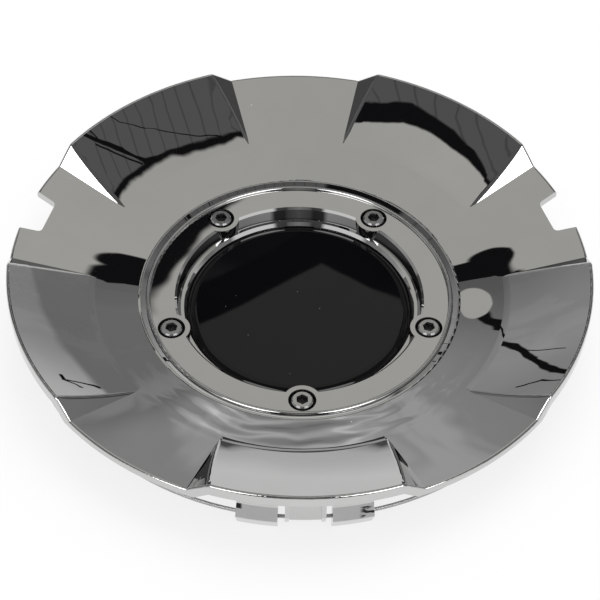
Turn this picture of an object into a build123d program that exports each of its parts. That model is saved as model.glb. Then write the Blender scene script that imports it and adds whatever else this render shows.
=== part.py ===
from build123d import *
import os
from math import degrees

os.makedirs("parts", exist_ok=True)

# Wheel centre cap, millimetres. Z runs along the cap's axis, out of the display face.
# The ends of the snap tabs stand on Z = 0.

# Face of the shell
rim_radius = 108.0          # 216 mm across, an 8.5 inch cap
face_height = 10.4          # flat of the bezel above the tab ends
sector_rise = 12.8          # rim of a low sector above the bezel
panel_rise = 18.8           # rim of a raised panel above the bezel
collar_radius = 59.3        # crest of the collar round the bezel
collar_rise = 1.2
cove_width = 0.9            # from the crest out to the lowest line of the dish
trough_rise = 1.15          # that line above the bezel
collar_land = 1.9           # width of the bevel inside the crest
collar_bevel = 0.8          # drop of that bevel
crest_round = 0.4
shell_wall = 3.0            # measured along Z

# Raised panels, and the sloping gores that join them to the low sectors
panel_count = 5
first_panel_angle = -90.0
panel_edge_angle = 18.0     # half angle of a panel's top at the rim
gore_foot_angle = 22.4      # half angle where a gore meets the dish
gore_round = 2.6
fold_run = 14.8             # from the dish's lowest line out to where a panel folds up
fold_round = 30.0
fold_turn = 7.0             # degrees, then a long shallow arc runs out to the rim
fold_sink = 0.02            # a panel's inner end dives this far below the dish
panel_inset = 0.05          # a panel's rim stands this far inside the low sectors' rim
rim_round = 0.9
skirt_height = 5.0
skirt_wall = 2.4

# Pry notches in two of the low sectors
notch_angles = (18.0, 162.0)
notch_depth = 8.6
notch_mouth = 20.0
notch_floor = 15.5
notch_round = 2.0

# Pan behind the bezel, with bosses for the screws and webs to the dish
pan_wall = 2.0
shelf_height = 4.4          # seat of the bezel above the tab ends
floor_height = 2.0          # seat of the medallion above the tab ends
floor_wall = 1.5
boss_diameter = 9.6
web_wall = 1.6
web_short = 1.6             # a web ends this far inside the panels' fold

# Bezel ring
bezel_clearance = 0.15
bead_width = 1.7
bead_rise = 1.0
flat_width = 8.95           # from the bead in to the bore
bore_chamfer = 0.8
bore_run = 1.4              # how far the bore's wall slopes inwards
ledge_width = 1.2
ledge_rise = 1.2            # above the lip
lip_run = 1.0
lip_wall = 0.5
lip_hold = 1.8              # how far the lip reaches over the medallion
sleeve_wall = 3.15          # round the medallion's edge
lobe_wall = 1.8             # round a counterbore
counterbore = 10.2

# Screws
screw_margin = 0.45         # from the bead to a counterbore
screw_head = 8.0
screw_head_height = 4.0
screw_proud = 0.5
screw_shank = 5.0
screw_short = 0.4           # a screw ends this far inside its boss
screw_chamfer = 0.5
screw_clearance = 0.1
socket_flats = 4.1
socket_depth = 2.4

# Medallion
medallion_edge = 1.7
medallion_clearance = 0.1
shoulder_width = 3.6        # rounded shoulder inside the lip
shoulder_rise = 1.5
crown_rise = 0.5            # dome above the shoulder

# Snap tabs, ribs and plates behind each raised panel
tab_inset = 8.0             # from the rim in to a tab's outer face
tab_wall = 2.2
tab_offset = 9.5            # from the panel's centreline to a tab's near side
tab_width = 14.5
tab_lead = 1.2              # how far a tab's end is drawn in
barb_top = 12.8
barb_drop = 5.8
barb_land = 0.6
barb_reach = 1.9
plate_wall = 1.6
plate_end = 6.2
rib_spacing = 12.8
rib_wall = 1.5
rib_depth = 3.0
rib_end = 5.2
rib_taper = 6.0

# Tension wire
wire_diameter = 1.4
wire_height = 4.8
wire_bite = 0.7             # how deep the wire sits in a tab
wire_clearance = 0.1
wire_gap = 2.0              # between the wire's two ends

# Values that follow from the sizes above
panel_pitch = 360 / panel_count
panel_angles = [first_panel_angle + panel_pitch * i for i in range(panel_count)]
trough_radius = collar_radius + cove_width
fold_radius = trough_radius + fold_run
crest_height = face_height + collar_rise
trough_height = face_height + trough_rise
sector_rim_height = face_height + sector_rise
panel_rim_height = face_height + panel_rise
dish_slope = (sector_rim_height - trough_height) / (rim_radius - trough_radius)
collar_bore = collar_radius - collar_land
pan_radius = collar_bore + pan_wall
shelf_under = shelf_height - pan_wall
floor_under = floor_height - floor_wall
bezel_radius = collar_bore - bezel_clearance
bead_foot = bezel_radius - bead_width
bezel_bore = bead_foot - flat_width
ledge_radius = bezel_bore - bore_chamfer - bore_run
lip_radius = ledge_radius - ledge_width - lip_run
medallion_radius = lip_radius + lip_hold
sleeve_bore = medallion_radius + medallion_clearance
sleeve_radius = sleeve_bore + sleeve_wall
step_radius = sleeve_radius + bezel_clearance
medallion_top = floor_height + medallion_edge
lip_under = medallion_top + medallion_clearance
ledge_height = lip_under + lip_wall + ledge_rise
screw_circle = bead_foot - screw_margin - counterbore / 2
screw_top = face_height + screw_proud
screw_seat = screw_top - screw_head_height
screw_hole = screw_shank + 2 * screw_clearance
tab_outer = rim_radius - tab_inset
tab_inner = tab_outer - tab_wall
wire_radius = tab_inner + wire_bite - wire_diameter / 2
plate_inner = wire_radius + wire_diameter / 2 + wire_clearance
plate_outer = plate_inner + plate_wall
over = shell_wall           # how far a cut runs past the face it opens


def dish_height(radius):
    return trough_height + (radius - trough_radius) * dish_slope


def at(radius, angle, height=0.0):
    return Vector(radius, 0, height).rotate(Axis.Z, angle)


def turned(outline, span=360.0):
    """Revolve an outline of radius and height round Z, centred on the X axis."""
    body = revolve(Plane.XZ * make_face(outline), Axis.Z, revolution_arc=span)
    return Rot(0, 0, -span / 2) * body


def around(piece, angles=panel_angles):
    return [Rot(0, 0, angle) * piece for angle in angles]


def bore(diameter, bottom, top):
    """Upright cylinder on the X axis, at the screw circle."""
    hole = Cylinder(diameter / 2, top - bottom, align=(Align.CENTER, Align.CENTER, Align.MIN))
    return Pos(screw_circle, 0, bottom) * hole


def dish_outline(drop, crest_radius, reach):
    """Front of the dish, lowered by drop: cove from the collar's crest, then a straight cone."""
    trough = (trough_radius, trough_height - drop)
    cove = TangentArc(trough, (crest_radius, crest_height - drop), tangent=(-1, -dish_slope))
    return cove + Line(trough, (reach, dish_height(reach) - drop))


def dish_block():
    """The dish with its collar, solid down to the underside of the shelf."""
    rim = (rim_radius, sector_rim_height)
    crest = (collar_radius, crest_height)
    bevel_foot = (collar_bore, crest_height - collar_bevel)
    sides = Polyline(rim, (rim_radius, shelf_under), (collar_bore, shelf_under), bevel_foot, crest)
    block = turned(dish_outline(0, collar_radius, rim_radius) + sides)
    circles = block.edges().filter_by(GeomType.CIRCLE)
    block = fillet(circles.filter_by(lambda e: abs((e @ 0).Z - sector_rim_height) < 1e-3), rim_round)
    circles = block.edges().filter_by(GeomType.CIRCLE)
    return fillet(circles.filter_by(lambda e: abs((e @ 0).Z - crest_height) < 1e-3), crest_round)


def dish_hollow():
    """The space under the dish, outside the pan's wall."""
    reach = rim_radius + over
    bottom = shelf_under - over
    roof = dish_outline(shell_wall, pan_radius, reach)
    rim_roof = (reach, dish_height(reach) - shell_wall)
    pan_roof = (pan_radius, crest_height - shell_wall)
    return turned(roof + Polyline(rim_roof, (reach, bottom), (pan_radius, bottom), pan_roof))


def gore_cutter(drop):
    """Half space beyond the gore on one side of a panel."""
    root = at(trough_radius, gore_foot_angle, trough_height - drop)
    foot = at(rim_radius, gore_foot_angle, sector_rim_height - drop)
    top = at(rim_radius, panel_edge_angle, panel_rim_height - drop)
    gore = Plane(origin=foot, x_dir=foot - root, z_dir=(top - root).cross(foot - root))
    size = 2 * rim_radius
    return gore * Box(size, size, size, align=(Align.CENTER, Align.CENTER, Align.MIN))


def panel_block(drop, reach, bottom):
    """One raised panel, lowered by drop and solid down to bottom, centred on the X axis."""
    foot = (fold_radius, dish_height(fold_radius) - fold_sink - drop)
    root = (trough_radius, trough_height - shell_wall / 2 - drop)
    fold = JernArc(foot, (1, dish_slope), fold_round, fold_turn)
    face = TangentArc(fold @ 1, (rim_radius, panel_rim_height - drop), tangent=fold % 1)
    tip = face @ 1 + face % 1 * 2 * over
    sides = Polyline(face @ 1, tip, (tip.X, bottom), (trough_radius, bottom), root, foot)
    outline = make_face(fold + face + sides) & Rectangle(2 * reach, 4 * panel_rim_height)
    block = turned(outline.edges(), panel_pitch)
    cutter = gore_cutter(drop)
    return block - cutter - mirror(cutter, Plane.XZ)


def rounded_panel():
    """The panel as seen from the front, with its gore edges and its rim rounded."""
    block = panel_block(0, rim_radius - panel_inset, shelf_under)
    gores = block.faces().filter_by(GeomType.PLANE).filter_by(lambda f: 0.1 < f.normal_at().Z < 0.9)
    sharp = gores.edges().filter_by(lambda e: e.geom_type in (GeomType.HYPERBOLA, GeomType.BSPLINE))
    block = fillet(sharp, gore_round)
    circles = block.edges().filter_by(GeomType.CIRCLE)
    return fillet(circles.filter_by(lambda e: abs((e @ 0.5).Z - panel_rim_height) < panel_inset), rim_round)


def face_shell():
    bottom = shelf_under - over
    hollow = dish_hollow()
    hollow += around(panel_block(shell_wall, rim_radius - skirt_wall, bottom))
    hollow += around(panel_block(skirt_height, rim_radius + over, bottom))
    return dish_block() + around(rounded_panel()) - hollow


def pry_notch():
    """Cutter for a notch in the rim, on the X axis."""
    flare = (notch_mouth - notch_floor) / 2 / notch_depth
    inner = rim_radius - notch_depth
    outer = rim_radius + 2 * notch_round
    mouth = notch_floor / 2 + flare * (outer - inner)
    corners = [(inner, -notch_floor / 2), (inner, notch_floor / 2), (outer, mouth), (outer, -mouth)]
    outline = FilletPolyline(*corners, radius=notch_round, close=True)
    return Pos(0, 0, face_height) * extrude(make_face(outline), panel_rise)


def pan():
    """Floor under the medallion, step, and shelf under the bezel, with the screw bosses."""
    step_outer = step_radius + pan_wall
    shelf_outer = (collar_bore + pan_radius) / 2
    outline = Polyline(
        (0, floor_under), (step_outer, floor_under), (step_outer, shelf_under),
        (shelf_outer, shelf_under), (shelf_outer, shelf_height), (step_radius, shelf_height),
        (step_radius, floor_height), (0, floor_height), close=True,
    )
    boss = bore(boss_diameter, floor_under, shelf_height)
    step_room = Pos(0, 0, floor_height) * Cylinder(
        step_radius, shelf_height, align=(Align.CENTER, Align.CENTER, Align.MIN))
    return turned(outline) + (Part() + around(boss) - step_room)


def webs():
    """Gussets between the pan and the dish, halfway between the panels' centrelines."""
    root = (collar_bore + pan_radius) / 2
    tip = fold_radius - web_short
    outline = Polyline((root, shelf_under), (tip, dish_height(tip) - shell_wall),
                       (tip, sector_rim_height), (root, sector_rim_height), close=True)
    gusset = extrude(make_face(Plane.XZ * outline), web_wall / 2, both=True)
    roof = (tip + over, dish_height(tip + over) - shell_wall / 2)
    under_dish = turned(dish_outline(shell_wall / 2, pan_radius, tip + over) + Polyline(
        roof, (tip + over, floor_under), (collar_bore, floor_under),
        (collar_bore, shelf_height), (pan_radius, crest_height - shell_wall / 2)), panel_pitch)
    angles = [angle + panel_pitch * share for angle in panel_angles for share in (0.25, 0.75)]
    return around(gusset & under_dish, angles)


def wire_ring(diameter, span=360.0):
    return turned(Pos(wire_radius, wire_height) * Circle(diameter / 2).edge(), span)


def retention():
    """Plate, two ribs and two barbed tabs behind the panel on the X axis."""
    top = panel_rim_height
    near = degrees(tab_offset / tab_outer)
    span = degrees(tab_width / tab_outer)
    barb_tip = tab_outer + barb_reach
    tab = turned(Polyline(
        (tab_inner, 0), (tab_outer - tab_lead, 0), (barb_tip, barb_top - barb_drop - barb_land),
        (barb_tip, barb_top - barb_drop), (tab_outer, barb_top), (tab_outer, top), (tab_inner, top),
        close=True,
    ), span)
    tab -= wire_ring(wire_diameter + 2 * wire_clearance)
    tabs = around(tab, (near + span / 2, -near - span / 2))
    plate = turned(Polyline(
        (plate_inner, plate_end), (plate_outer, plate_end), (plate_outer, top), (plate_inner, top),
        close=True,
    ), degrees(rib_spacing / plate_outer))
    rib_outer = plate_outer + rib_depth
    rib = extrude(make_face(Plane.XZ * Polyline(
        (plate_inner, rib_end), (plate_outer, rib_end), (rib_outer, rib_end + rib_taper),
        (rib_outer, top), (plate_inner, top), close=True,
    )), rib_wall / 2, both=True)
    ribs = [Pos(0, side * rib_spacing / 2, 0) * rib for side in (-1, 1)]
    under_panel = panel_block(shell_wall / 2, rim_radius, -over)
    return (plate + ribs + tabs) & under_panel


def cap_shell():
    shell = face_shell() + pan() + webs() + around(retention())
    shell -= around(pry_notch(), notch_angles)
    return shell - around(bore(screw_hole, -over, face_height))


def bezel_ring():
    bead = ThreePointArc(
        (bead_foot, face_height), (bezel_radius - bead_width / 2, face_height + bead_rise),
        (bezel_radius, face_height + bead_rise / 2))
    outline = bead + Polyline(
        bead @ 1, (bezel_radius, shelf_height), (sleeve_radius, shelf_height),
        (sleeve_radius, floor_height), (sleeve_bore, floor_height), (sleeve_bore, lip_under),
        (lip_radius, lip_under), (lip_radius, lip_under + lip_wall),
        (ledge_radius - ledge_width, ledge_height), (ledge_radius, ledge_height),
        (bezel_bore - bore_chamfer, face_height - bore_chamfer), (bezel_bore, face_height), bead @ 0)
    lobe = counterbore + 2 * lobe_wall
    ring = turned(outline) + around(bore(lobe, ledge_height, face_height))
    ring -= around(bore(counterbore, screw_seat, face_height + over))
    return ring - around(bore(screw_hole, floor_under, screw_seat + over))


def medallion():
    shoulder_outer = lip_radius - medallion_clearance
    shoulder = (shoulder_outer - shoulder_width, medallion_top + shoulder_rise)
    crown = (0, medallion_top + shoulder_rise + crown_rise)
    dome = TangentArc(crown, shoulder, tangent=(1, 0))
    round_over = TangentArc(shoulder, (shoulder_outer, medallion_top), tangent=dome % 1)
    return turned(dome + round_over + Polyline(
        round_over @ 1, (medallion_radius, medallion_top), (medallion_radius, floor_height),
        (0, floor_height), crown))


def bezel_screw():
    """One socket-head screw at the screw circle, on the X axis."""
    head = bore(screw_head, screw_seat, screw_top)
    head = chamfer(head.edges().group_by(Axis.Z)[-1], screw_chamfer)
    hexagon = RegularPolygon(socket_flats / 2, 6, major_radius=False)
    socket = Pos(screw_circle, 0, screw_top) * extrude(hexagon, -socket_depth)
    shank = bore(screw_shank, floor_under + screw_short, screw_seat)
    return head + shank - socket


def retaining_wire():
    """Round wire, its two ends facing each other behind a rear panel."""
    span = 360 - degrees(wire_gap / wire_radius)
    return Rot(0, 0, panel_angles[panel_count // 2] + 180) * wire_ring(wire_diameter, span)


nodes = {
    "cap_shell": cap_shell(),
    "bezel_ring": bezel_ring(),
    "medallion": medallion(),
    "bezel_screws": Compound(children=around(bezel_screw())),
    "retaining_wire": retaining_wire(),
}
for name, body in nodes.items():
    print(name, len(body.solids()), "solids", round(body.volume), "mm3", body.is_valid)
    export_step(body, f"parts/{name}.step")
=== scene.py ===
import bpy
from math import cos, degrees, pi, radians, sin
from types import SimpleNamespace
from mathutils import Matrix, Vector

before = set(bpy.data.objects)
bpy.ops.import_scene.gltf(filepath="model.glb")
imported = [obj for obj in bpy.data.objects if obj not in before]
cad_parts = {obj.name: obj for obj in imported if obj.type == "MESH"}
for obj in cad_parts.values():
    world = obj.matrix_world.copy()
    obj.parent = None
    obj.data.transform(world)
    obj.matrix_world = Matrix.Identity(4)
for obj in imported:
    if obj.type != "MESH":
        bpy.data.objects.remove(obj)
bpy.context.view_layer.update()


class Wire:  # one socket of a node tree, so that shader maths reads as plain expressions
    def __init__(self, tree, socket=None):
        self.tree = tree
        self.socket = socket

    def add(self, kind, settings=None, values=None, out=0):  # any node: settings first, then sockets
        node = self.tree.nodes.new(kind)
        for name, value in (settings or {}).items():
            if name == "stops":
                ramp = node.color_ramp
                while len(ramp.elements) < len(value):
                    ramp.elements.new(0.5)
                for stop, (place, tone) in zip(ramp.elements, sorted(value)):
                    stop.position = place
                    stop.color = (tone, tone, tone, 1.0)
            else:
                setattr(node, name, value)
        for name, value in (values or {}).items():
            socket = node.inputs[name]
            if isinstance(value, Wire):
                self.tree.links.new(value.socket, socket)
            else:
                socket.default_value = value
        return Wire(self.tree, node.outputs[out] if len(node.outputs) else None)

    def maths(self, operation, *values):
        return self.add("ShaderNodeMath", {"operation": operation}, dict(enumerate(values)))

    def __add__(self, other): return self.maths("ADD", self, other)
    def __radd__(self, other): return self.maths("ADD", other, self)
    def __sub__(self, other): return self.maths("SUBTRACT", self, other)
    def __rsub__(self, other): return self.maths("SUBTRACT", other, self)
    def __mul__(self, other): return self.maths("MULTIPLY", self, other)
    def __rmul__(self, other): return self.maths("MULTIPLY", other, self)
    def __truediv__(self, other): return self.maths("DIVIDE", self, other)
    def __rtruediv__(self, other): return self.maths("DIVIDE", other, self)
    def __pow__(self, other): return self.maths("POWER", self, other)
    def __neg__(self): return self.maths("MULTIPLY", self, -1.0)
    def __abs__(self): return self.maths("ABSOLUTE", self)

    def most(self, other): return self.maths("MAXIMUM", self, other)
    def least(self, other): return self.maths("MINIMUM", self, other)

    def step(self, low, high):  # smooth 0 to 1 as the value goes from low to high
        values = {"Value": self, "From Min": low, "From Max": high}
        return self.add("ShaderNodeMapRange", {"interpolation_type": "SMOOTHSTEP"}, values)

    def blend(self, other, share):  # colours: self where share is 0, other where it is 1
        values = {0: share, 6: self, 7: other}
        return self.add("ShaderNodeMix", {"data_type": "RGBA"}, values, out=2)

    def parts(self):
        node = self.add("ShaderNodeSeparateXYZ", None, {0: self}).socket.node
        return [Wire(self.tree, socket) for socket in node.outputs]

    def joined(self, other, third):
        return self.add("ShaderNodeCombineXYZ", None, {0: self, 1: other, 2: third})

    def scaled(self, factors):
        return self.add("ShaderNodeVectorMath", {"operation": "MULTIPLY"}, {0: self, 1: factors})

    def noise(self, scale, detail=2.0, rough=0.5):
        return self.add("ShaderNodeTexNoise", None,
                        {"Vector": self, "Scale": scale, "Detail": detail, "Roughness": rough})

    def grey(self, tint=(1.0, 1.0, 1.0)):  # value to colour
        return self.scaled(tint)


def newTree(owner):
    owner.use_nodes = True
    owner.node_tree.nodes.clear()
    return Wire(owner.node_tree)


def rayKinds(tree, *names):  # 1 for a ray of any of these kinds
    outputs = tree.add("ShaderNodeLightPath").socket.node.outputs
    kinds = [Wire(tree.tree, outputs[name]) for name in names]
    share = kinds[0]
    for kind in kinds[1:]:
        share = share.most(kind)
    return share


def length(across, along):
    return (across * across + along * along) ** 0.5


# camera
cameraSet = {
    "height": 48.29,             # degrees above the floor
    "lean": 2.19,                # degrees, the view leans to one side
    "roll": 1.55,
    "distance": 0.875,
    "lens": 140.5,
    "target": (0.0, 0.0, 0.0109),
    "slide": (0.00019, -0.00164),
}


def placeCamera(part):
    heightSin, heightCos = sin(radians(part["height"])), cos(radians(part["height"]))
    leanSin, leanCos = sin(radians(part["lean"])), cos(radians(part["lean"]))
    rollSin, rollCos = sin(radians(part["roll"])), cos(radians(part["roll"]))
    flatRight = Vector((leanCos, 0, leanSin))
    flatUp = Vector((-leanSin * heightCos, heightSin, leanCos * heightCos))
    forward = Vector((leanSin * heightSin, heightCos, -leanCos * heightSin))
    right = rollCos * flatRight - rollSin * flatUp
    up = rollSin * flatRight + rollCos * flatUp
    eye = Vector(part["target"]) - part["distance"] * forward
    eye += part["slide"][0] * right + part["slide"][1] * up
    data = bpy.data.cameras.new("camera")
    data.lens = part["lens"]
    data.sensor_width = 36.0
    camera = bpy.data.objects.new("camera", data)
    camera.matrix_world = Matrix.Translation(eye) @ Matrix((right, up, -forward)).transposed().to_4x4()
    bpy.context.scene.collection.objects.link(camera)
    bpy.context.scene.camera = camera


placeCamera(cameraSet)
print("camera placed")

# studio round the cap: what the chrome shows, by direction
# u and v: a direction's x and y over its z. turn and height: degrees from straight ahead and from level
studioSet = {
    "plainLight": 0.9,           # level that lights the floor and dull surfaces
    "upperFrom": (0.05, 0.12),   # z of a direction where the forms above the floor begin
    "edge": 0.003,               # softness of the scrim's edge
    "ahead": [(-90, 0.9), (-2, 0.9), (0, 0.8), (5, 0.83), (8, 0.7), (10.2, 0.62), (11.2, 0.1),
              (14.4, 0.05), (15, 0.5), (17, 0.5), (17.6, 0.05), (22, 0.03), (23, 0.3), (24.2, 0.34),
              (25, 0.6), (25.6, 0.62), (26.2, 0.36), (31, 0.35), (37, 0.28), (46, 0.14), (90, 0.128)],
    "left": [(-90, 0.9), (-2, 0.9), (0, 0.8), (8, 0.6), (14, 0.36), (18, 0.33), (24, 0.41), (28, 0.36),
             (31, 0.36), (37, 0.28), (45, 0.15), (55, 0.128), (90, 0.128)],
    "right": [(-90, 0.9), (-2, 0.9), (0, 0.8), (8, 0.6), (14, 0.23), (40, 0.23), (50, 0.135), (90, 0.128)],
    "asideFrom": (9.5, 12.0),    # turn where ahead gives way to left and right
    "rightGlow": [(0, 0.8), (12, 0.72), (15, 0.66), (19, 0.48), (23, 0.37), (31, 0.33), (40, 0.28)],
    "glowLine": (0.85, 1.3),     # the glow on the right ends at this slope and height over the turn
    "glowEnd": (38.0, 44.0),
    "cloudScale": 9.0,
    "cloudFrom": (0.5, 0.6),
    "cloudAbove": (20.0, 24.0),
    "cloudBelow": (0.6, 0.7),    # z of a direction
    "cloudAside": (12.0, 16.0),
    "cloudLoss": 0.8,            # share that goes to the sides
    "cloudGain": (1.45, 1.45, 1.47),
    "wingTurns": ((40.0, 44.0), (62.0, 66.0)),
    "wingTop": (38.0, 42.0),
    "wingTone": 0.09,
    "slotTurn": 50.0,            # lighter slot in each wing
    "slotWidth": (0.4, 1.8),
    "slotTone": 0.26,
    "tileSpan": 0.046,           # ceiling tiles and their seams
    "tileSlant": 0.25,
    "tileWander": 0.03,
    "seamWidth": (0.03, 0.09),
    "seamAbove": (0.75, 0.8),
    "seamShade": (0.7, 0.7, 0.7),
    "cables": [(0.41, 0.23, 0.46, 0.266, 0.012), (0.46, 0.266, 0.52, 0.262, 0.006),  # two ends and a width
               (0.45, 0.256, 0.58, 0.282, 0.004), (0.52, 0.262, 0.64, 0.292, 0.009),
               (0.59, 0.28, 0.62, 0.25, 0.004), (0.2, 0.09, 0.6, 0.2, 0.0018),
               (0.47, 0.277, 0.6, 0.297, 0.004)],
    "poles": [(-18.2, 42.0, -15.4, 38.9, 0.4), (-20.0, 35.9, -20.6, 34.0, 0.4),      # in turn and height
              (-20.6, 34.0, -21.4, 28.5, 0.5), (-21.4, 28.5, -20.2, 22.5, 0.55),
              (-20.2, 22.5, -19.2, 18.2, 0.4), (-21.3, 30.5, -21.0, 24.8, 0.12),
              (-21.0, 24.8, -22.4, 22.0, 0.12), (-19.2, 18.4, -16.5, 18.9, 0.16),
              (19.2, 17.6, 20.9, 16.4, 0.22), (20.9, 16.4, 21.6, 17.2, 0.16),
              (19.4, 16.2, 20.7, 16.3, 0.14)],
    "poleBend": 1.6,
    "scrimTone": (0.56, 0.555, 0.53),
    "scrimRounds": [(-0.05, 0.7, 0.655), (0.15, 0.65, 0.705)],  # middle and radius
    "scrimSides": (0.045, 0.362, 0.8, 0.66),    # middle, half width, from where it widens, and how fast
    "scrimPeak": (0.065, 0.975, 0.95, 0.93),    # far edge: a peak, its fall to each side, height beyond
    "scrimShoulder": (0.15, 0.21),              # how far from the peak the height beyond begins
    "scrimRagged": 0.016,
    "borderTone": (0.008, 0.008, 0.009, 1.0),
    "borderWidth": (0.012, 0.05, 0.045),        # thin part, low left end, far part
    "borderFarFrom": (0.6, 0.72),
    "borderSides": (0.22, 0.25),                # where the border ends on the left and right
    "borderEnds": ((0.86, 0.885), (0.91, 0.935)),
    "borderBlots": [(0.413, 0.795, 0.018, 0.052), (-0.323, 0.79, 0.014, 0.04)],
    "windowSpot": (-0.357, 1.02, 0.013, 0.1),
    "darkSpot": (0.065, 1.07, 0.2, 0.12),
    "darkTone": (0.04, 0.04, 0.042, 1.0),
    "behind": [(0, 0.26), (9, 0.16), (12, 0.06), (20, 0.08), (24, 0.9), (58, 0.9), (64, 0.25), (90, 0.3)],
    "boxTone": (5.0, 5.0, 5.0, 1.0),            # softboxes
    "boxSpots": [(-0.467, -0.5565), (0.467, -0.5565)],
    "boxRadius": 0.3,
}


def ellipse(u, v, spot, soft):  # 1 inside, 0 outside
    across, along = (u - spot[0]) / spot[2], (v - spot[1]) / spot[3]
    return 1.0 - (across * across + along * along).step(1.0 - soft, 1.0 + soft)


def strip(u, v, line):  # 1 within a width of a straight line between two points
    runU, runV = line[2] - line[0], line[3] - line[1]
    fromU, fromV = u - line[0], v - line[1]
    share = ((fromU * runU + fromV * runV) / (runU * runU + runV * runV)).most(0.0).least(1.0)
    return 1.0 - length(fromU - share * runU, fromV - share * runV).step(line[4] * 0.6, line[4])


def byDegrees(angle, stops):  # stops hold degrees and a tone
    spread = [((place + 90.0) / 180.0, tone) for place, tone in stops]
    return angle.add("ShaderNodeValToRGB", {"stops": spread}, {0: (angle + 90.0) / 180.0})


def lookOut(tree, part):  # a mirror ray's direction, in the forms that the studio uses
    way = tree.add("ShaderNodeTexCoord")
    x, y, z = way.parts()
    above = z.most(0.03)
    u, v = x / above, y / above
    flat = u.joined(v, z * 0.0)
    height = z.maths("ARCSINE", z) * degrees(1.0)
    turn = x.maths("ARCTAN2", x, y) * degrees(1.0)
    wobble = (flat.noise(7.0, 3.0) - 0.5) * part["scrimRagged"]
    upper = z.step(*part["upperFrom"])
    return SimpleNamespace(way=way, x=x, y=y, z=z, u=u, v=v, flat=flat, height=height, turn=turn,
                           aside=abs(turn), wobble=wobble, upper=upper)


def roomTones(ray, part):
    slope, start = part["glowLine"]
    glow = 1.0 - (ray.height - ray.aside * slope - start).step(-0.5, 0.5)
    glow = glow * (1.0 - ray.aside.step(*part["glowEnd"]))
    right = byDegrees(ray.height, part["right"]).blend(byDegrees(ray.height, part["rightGlow"]), glow)
    sides = byDegrees(ray.height, part["left"]).blend(right, ray.x.step(-0.05, 0.05))
    return byDegrees(ray.height, part["ahead"]).blend(sides, ray.aside.step(*part["asideFrom"]))


def addClouds(room, ray, part):
    cloud = ray.way.noise(part["cloudScale"], 3.0, 0.55).step(*part["cloudFrom"])
    cloud = cloud * ray.height.step(*part["cloudAbove"]) * (1.0 - ray.z.step(*part["cloudBelow"]))
    cloud = cloud * (1.0 - ray.aside.step(*part["cloudAside"]) * part["cloudLoss"])
    return room.blend(room.scaled(part["cloudGain"]), cloud)


def addWings(room, ray, part):
    first, last = part["wingTurns"]
    wing = ray.aside.step(*first) * (1.0 - ray.aside.step(*last)) * (1.0 - ray.height.step(*part["wingTop"]))
    slot = 1.0 - abs(ray.aside - part["slotTurn"]).step(*part["slotWidth"])
    return room.blend((slot * part["slotTone"] + part["wingTone"]).grey(), wing * ray.upper)


def addSeams(room, ray, part):
    wander = ray.way.noise(5.0) * part["tileWander"]
    tiles = (ray.u + ray.v * part["tileSlant"] + wander) / part["tileSpan"]
    seam = 1.0 - abs(tiles - tiles.maths("ROUND", tiles)).step(*part["seamWidth"])
    return room.blend(room.scaled(part["seamShade"]), seam * ray.z.step(*part["seamAbove"]))


def addCablesAndPoles(room, ray, part):
    u, v = ray.u + ray.wobble, ray.v - ray.wobble
    for line in part["cables"]:
        room = room.blend(part["borderTone"], strip(u, v, line) * ray.upper)
    bend = (ray.way.noise(14.0, 2.0) - 0.5) * part["poleBend"]
    turn, height = ray.turn + bend, ray.height + bend
    for line in part["poles"]:
        room = room.blend(part["borderTone"], strip(turn, height, line))
    return room


def scrimReach(ray, part):  # below 0 on the scrim, and grows away from its edge
    middle, half, widenFrom, widen = part["scrimSides"]
    sides = abs(ray.u - middle) - half - (widenFrom - ray.v).most(0.0) * widen
    peakU, peakV, fall, beyond = part["scrimPeak"]
    off = abs(ray.u - peakU)
    far = (ray.v - (peakV - off * fall).most(off.step(*part["scrimShoulder"]) * beyond)) * 0.7
    reach = sides.most(far)
    for centreU, centreV, radius in part["scrimRounds"]:
        reach = reach.most(length(ray.u - centreU, ray.v - centreV) - radius)
    return reach + ray.wobble


def borderReach(ray, part):  # how far the dark border goes beyond the scrim's edge
    thin, lowLeft, farOut = part["borderWidth"]
    width = ((lowLeft - ray.v * 0.1) * (1.0 - ray.u.step(0.0, 0.1))).most(thin)
    width = width + ray.v.step(*part["borderFarFrom"]) * farOut
    leftEnd, rightEnd = part["borderEnds"]
    width = width * (1.0 - (-ray.u).step(*part["borderSides"]) * ray.v.step(*leftEnd))
    return width * (1.0 - ray.u.step(*part["borderSides"]) * ray.v.step(*rightEnd))


def addScrim(room, ray, part):
    edge = part["edge"]
    room = room.blend(part["darkTone"], ellipse(ray.u, ray.v, part["darkSpot"], 0.3) * ray.upper)
    reach = scrimReach(ray, part)
    border = 1.0 - (reach - borderReach(ray, part)).step(-edge, edge)
    room = room.blend(part["borderTone"], border * ray.upper)
    cloth = (ray.flat.noise(1.2, 1.0) * 0.3 + 0.85).grey(part["scrimTone"])
    share = (1.0 - reach.step(-edge, edge)).most(ellipse(ray.u, ray.v, part["windowSpot"], 0.1))
    room = room.blend(cloth, share * ray.upper)
    for spot in part["borderBlots"]:
        room = room.blend(part["borderTone"], ellipse(ray.u + ray.wobble, ray.v, spot, 0.2) * ray.upper)
    return room


def addRear(room, ray, part):  # what lies behind the camera
    behind = byDegrees(180.0 - ray.aside, part["behind"])
    room = room.blend(behind, (-ray.y).step(0.1, 0.2) * (1.0 - ray.z.step(0.8, 0.85)) * ray.upper)
    for centreU, centreV in part["boxSpots"]:
        spot = (centreU, centreV, part["boxRadius"], part["boxRadius"])
        room = room.blend(part["boxTone"], ellipse(ray.u, ray.v, spot, 0.1) * ray.upper)
    return room


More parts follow.
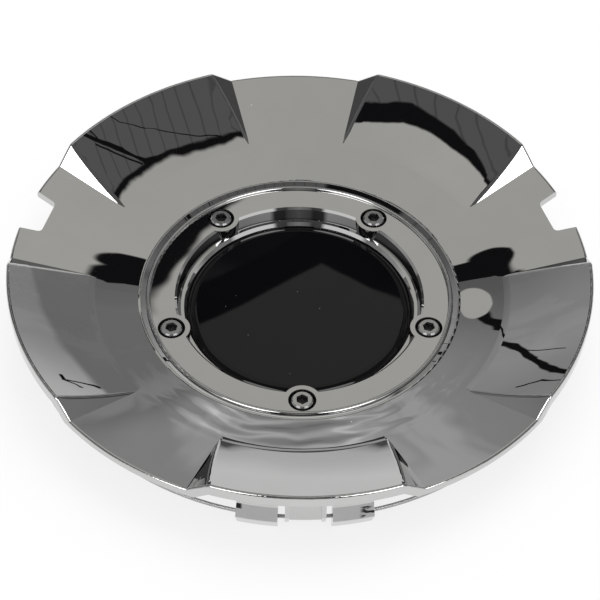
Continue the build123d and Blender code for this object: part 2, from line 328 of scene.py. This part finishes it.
def buildStudio(part):
    world = bpy.data.worlds.new("studio")
    bpy.context.scene.world = world
    tree = newTree(world)
    ray = lookOut(tree, part)
    room = roomTones(ray, part)
    for addForms in (addClouds, addWings, addSeams, addCablesAndPoles, addScrim, addRear):
        room = addForms(room, ray, part)
    level = part["plainLight"]
    plain = tree.add("ShaderNodeBackground", None, {"Color": (level, level, level, 1.0)})
    shown = tree.add("ShaderNodeBackground", None, {"Color": room})
    white = tree.add("ShaderNodeBackground", None, {"Color": (1.0, 1.0, 1.0, 1.0)})
    mirror = rayKinds(tree, "Is Glossy Ray", "Is Transmission Ray")
    lit = tree.add("ShaderNodeMixShader", None, {0: mirror, 1: plain, 2: shown})
    camera = rayKinds(tree, "Is Camera Ray")
    seen = tree.add("ShaderNodeMixShader", None, {0: camera, 1: lit, 2: white})
    tree.add("ShaderNodeOutputWorld", None, {"Surface": seen})


buildStudio(studioSet)
print("studio built")

# floor and lamp
floorSet = {"half": 4.0, "drop": 0.0001, "colour": (0.86, 0.86, 0.86), "glow": 0.78}
lampSet = {"place": (0.15, 0.25, 1.1), "size": 0.9, "watts": 5.0}


def buildFloor(part):
    half, low = part["half"], -part["drop"]
    corners = [(-half, -half, low), (half, -half, low), (half, half, low), (-half, half, low)]
    mesh = bpy.data.meshes.new("floor")
    mesh.from_pydata(corners, [], [(0, 1, 2, 3)])
    floor = bpy.data.objects.new("floor", mesh)
    bpy.context.scene.collection.objects.link(floor)
    material = bpy.data.materials.new("floorWhite")
    tree = newTree(material)
    where = tree.add("ShaderNodeTexCoord", None, None, out=3)
    tone = where.noise(3.0) * 0.02 + 0.99
    paper = tree.add("ShaderNodeBsdfDiffuse", None, {"Color": tone.grey(part["colour"])})
    white = tree.add("ShaderNodeEmission", None, {"Color": (1.0, 1.0, 1.0, 1.0), "Strength": 1.0})
    seen = rayKinds(tree, "Is Camera Ray", "Is Glossy Ray", "Is Transmission Ray") * part["glow"]
    surface = tree.add("ShaderNodeMixShader", None, {0: seen, 1: paper, 2: white})
    tree.add("ShaderNodeOutputMaterial", None, {"Surface": surface})
    mesh.materials.append(material)


def buildLamp(part):
    data = bpy.data.lights.new("lamp", "AREA")
    data.shape = "DISK"
    data.size = part["size"]
    data.energy = part["watts"]
    lamp = bpy.data.objects.new("lamp", data)
    place = Vector(part["place"])
    lamp.matrix_world = Matrix.Translation(place) @ place.to_track_quat("Z", "Y").to_matrix().to_4x4()
    lamp.visible_glossy = False
    bpy.context.scene.collection.objects.link(lamp)


buildFloor(floorSet)
buildLamp(lampSet)
print("floor and lamp built")

# finishes
fifthAngle = radians(72.0)  # five panels and five screws


def dress(node, material):
    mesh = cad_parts[node].data
    mesh.materials.clear()
    mesh.materials.append(material)


def startFinish(name):
    material = bpy.data.materials.new(name)
    tree = newTree(material)
    return material, tree, tree.add("ShaderNodeTexCoord", None, None, out=3)


def endFinish(tree, values):
    surface = tree.add("ShaderNodeBsdfPrincipled", None, values)
    tree.add("ShaderNodeOutputMaterial", None, {"Surface": surface})


def specks(where, perMetre, radius, share):  # 1 on small scattered grains
    cells = {"Vector": where, "Scale": perMetre}
    gap = where.add("ShaderNodeTexVoronoi", None, cells)
    pick = where.add("ShaderNodeTexVoronoi", None, cells, out=1).parts()[0]
    size = radius * perMetre
    return (1.0 - gap.step(size * 0.6, size)) * pick.step(1.0 - share, 1.001 - share)


def fifthTurn(x, y):  # angle from the nearest panel's middle
    fifth = x.maths("ARCTAN2", x, -y) / fifthAngle
    return (fifth - fifth.maths("ROUND", fifth)) * fifthAngle


def hairlines(where, turnBy, scale, width):  # 1 on long thin scratches
    turned = where.add("ShaderNodeVectorRotate", None, {"Vector": where, "Angle": turnBy})
    streak = turned.scaled((scale * 0.02, scale, scale)).noise(1.0, 2.0)
    line = 1.0 - abs(streak - 0.5).step(width * 0.5, width)
    return line * where.noise(24.0).step(0.52, 0.6)


# shell
shellSet = {
    "tone": (0.56, 0.56, 0.555),
    "rough": 0.004,
    "wave": 0.0004,
    "waveScale": 22.0,
    "dust": (0.5, 0.5, 0.49, 1.0),
    "dustSize": 0.0003,
    "dustShare": 0.06,
    "dustPerMetre": 230.0,
    "scratchScale": 900.0,
    "scratches": ((0.6, 0.012), (-0.35, 0.01)),     # direction and width
    "scratchLeft": (0.055, 0.075),                  # only on the panel at the left
    "scratchBack": (-0.01, 0.01),
    "nearFrom": (0.015, 0.05),                      # near side, where the plating is less even
    "ripple": 0.000012,
    "ripplePitch": 0.008,
    "rippleWander": 0.014,
    "rippleEnd": (0.072, 0.08),
    "barbRadius": (0.0965, 0.097),                  # outer slopes of the snap tabs
    "barbFoot": (0.0066, 0.0069),
    "barbTop": (0.0123, 0.0126),
    "barbBeside": (0.009, 0.0093),
    # painted shade: darker grey on the tabs' outer slopes, standing in for the darker floor they reflect
    "barbShade": (0.37, 0.37, 0.37, 1.0),
    "nearEndTone": (0.02, 0.02, 0.02, 1.0),            # near-black on the ends of the two near tabs
    "nearEndFront": (0.08, 0.085),
    "nearEndRight": (0.0185, 0.0205),
    "nearEndLeft": (0.0215, 0.0225),
    "nearEndAbove": (0.0102, 0.0106),
}


def shellChrome(part):
    material, tree, where = startFinish("shellChrome")
    haze = where.noise(60.0, 4.0, 0.6)
    x, y, z = where.parts()
    radius = length(x, y)
    first, second = [hairlines(where, turnBy, part["scratchScale"], width) for turnBy, width in part["scratches"]]
    scratch = first.most(second) * (-x).step(*part["scratchLeft"]) * (1.0 - y.step(*part["scratchBack"]))
    dusty = specks(where, part["dustPerMetre"], part["dustSize"], part["dustShare"])
    dusty = dusty * where.noise(14.0).step(0.45, 0.6)
    tone = (haze * 0.08 + 0.96 - scratch * 0.12).grey(part["tone"]).blend(part["dust"], dusty)
    # the tabs' outer slopes: coloured darker grey as painted shade, and made rougher
    barb = radius.step(*part["barbRadius"]) * z.step(*part["barbFoot"]) * (1.0 - z.step(*part["barbTop"]))
    barb = barb * (abs(fifthTurn(x, y)) * radius).step(*part["barbBeside"])
    # near-black patches on the ends of the two near tabs: a crumpled pattern on the right end, the upper part on
    # the left
    crumple = where.scaled((140.0, 140.0, 900.0)).noise(1.0, 3.0).step(0.5, 0.56)
    nearEndRight = x.step(*part["nearEndRight"]) * crumple
    nearEndLeft = (-x).step(*part["nearEndLeft"]) * z.step(*part["nearEndAbove"])
    nearEnds = barb * (-y).step(*part["nearEndFront"]) * nearEndRight.most(nearEndLeft)
    tone = tone.blend(part["barbShade"], barb * (haze * 0.6 + 0.6)).blend(part["nearEndTone"], nearEnds)
    rough = haze * 0.012 + part["rough"] + scratch * 0.06 + dusty * 0.5 + barb * 0.2
    nearSide = (-y).step(*part["nearFrom"])
    wave = where.noise(part["waveScale"], 1.0) * (nearSide * 0.8 + 0.2) * part["wave"]
    ring = (radius + where.noise(30.0) * part["rippleWander"]) * (2.0 * pi / part["ripplePitch"])
    ripple = ring.maths("SINE", ring) * part["ripple"] * nearSide * (1.0 - radius.step(*part["rippleEnd"]))
    bump = tree.add("ShaderNodeBump", None, {"Strength": 1.0, "Distance": 1.0, "Height": wave + ripple})
    endFinish(tree, {"Base Color": tone, "Metallic": 1.0 - dusty, "Roughness": rough, "Normal": bump})
    return material


dress("cap_shell", shellChrome(shellSet))
print("shell finished")

# bezel
bezelSet = {
    "tone": (0.56, 0.56, 0.555),
    "rough": 0.004,
    "wave": 0.00005,
    "waveScale": 40.0,
    "fallIn": 0.0128,            # slight slope of the band towards its middle
    # painted shade: near-black colour for the screw counterbores, where shade falls
    "recessShade": (0.012, 0.012, 0.012, 1.0),
    "screwCircle": 0.05,
    "sunkRadius": 0.0053,
    "sunkBelow": 0.0102,
}


def bezelChrome(part):
    material, tree, where = startFinish("bezelChrome")
    haze = where.noise(60.0, 4.0, 0.6)
    x, y, z = where.parts()
    local = fifthTurn(x, y)
    radius = length(x, y)
    along = radius * local.maths("COSINE", local) - part["screwCircle"]
    across = radius * local.maths("SINE", local)
    # painted shade: the counterbore walls and floor below sunkBelow are coloured near-black, with no metal and
    # more roughness
    hole = 1.0 - length(along, across).step(part["sunkRadius"] - 0.0001, part["sunkRadius"])
    recessShade = hole * (1.0 - z.step(part["sunkBelow"] - 0.0003, part["sunkBelow"]))
    tone = (haze * 0.08 + 0.96).grey(part["tone"]).blend(part["recessShade"], recessShade)
    rough = haze * 0.012 + part["rough"] + recessShade * 0.4
    wave = where.noise(part["waveScale"], 1.0) * part["wave"] + radius * part["fallIn"]
    bump = tree.add("ShaderNodeBump", None, {"Strength": 1.0, "Distance": 1.0, "Height": wave})
    endFinish(tree, {"Base Color": tone, "Metallic": 1.0 - recessShade, "Roughness": rough, "Normal": bump})
    return material


dress("bezel_ring", bezelChrome(bezelSet))
print("bezel finished")

# screws
# painted shade: near-black colour in the hex sockets, where shade falls
screwSet = {"tone": (0.55, 0.55, 0.55), "rough": 0.12, "recessShade": (0.012, 0.012, 0.012, 1.0), "sunkBelow": 0.0103}


def screwChrome(part):
    material, tree, where = startFinish("screwChrome")
    grain = where.noise(900.0, 3.0)
    height = where.parts()[2]
    # painted shade: everything below sunkBelow, the socket, is coloured near-black with no metal
    recessShade = 1.0 - height.step(part["sunkBelow"] - 0.0002, part["sunkBelow"])
    tone = (grain * 0.2 + 0.9).grey(part["tone"]).blend(part["recessShade"], recessShade)
    rough = grain * 0.08 + part["rough"] + recessShade * 0.5
    endFinish(tree, {"Base Color": tone, "Metallic": 1.0 - recessShade, "Roughness": rough})
    return material


dress("bezel_screws", screwChrome(screwSet))
print("screws finished")

# medallion
medallionSet = {
    "tone": (0.0025, 0.0025, 0.003),
    "rough": 0.006,
    "ior": 1.38,
    "dust": (0.16, 0.16, 0.15, 1.0),
    "dustSize": 0.0002,
    "dustShare": 0.25,
    "dustPerMetre": 260.0,
}


def glossBlack(part):
    material, tree, where = startFinish("medallionBlack")
    smear = where.noise(45.0, 4.0, 0.6)
    dusty = specks(where, part["dustPerMetre"], part["dustSize"], part["dustShare"])
    tone = (smear * 0.6 + 0.7).grey(part["tone"]).blend(part["dust"], dusty)
    rough = smear * 0.02 + part["rough"] + dusty * 0.5
    endFinish(tree, {"Base Color": tone, "Roughness": rough, "IOR": part["ior"]})
    return material


dress("medallion", glossBlack(medallionSet))
print("medallion finished")

# wire
wireSet = {"tone": (0.42, 0.42, 0.42), "rough": 0.3}


def drawnSteel(part):
    material, tree, where = startFinish("wireSteel")
    grain = where.noise(400.0, 3.0)
    tone = (grain * 0.3 + 0.85).grey(part["tone"])
    rough = grain * 0.15 + part["rough"]
    endFinish(tree, {"Base Color": tone, "Metallic": 1.0, "Roughness": rough})
    return material


dress("retaining_wire", drawnSteel(wireSet))
print("wire finished")

bpy.context.scene.view_settings.view_transform = "Standard"
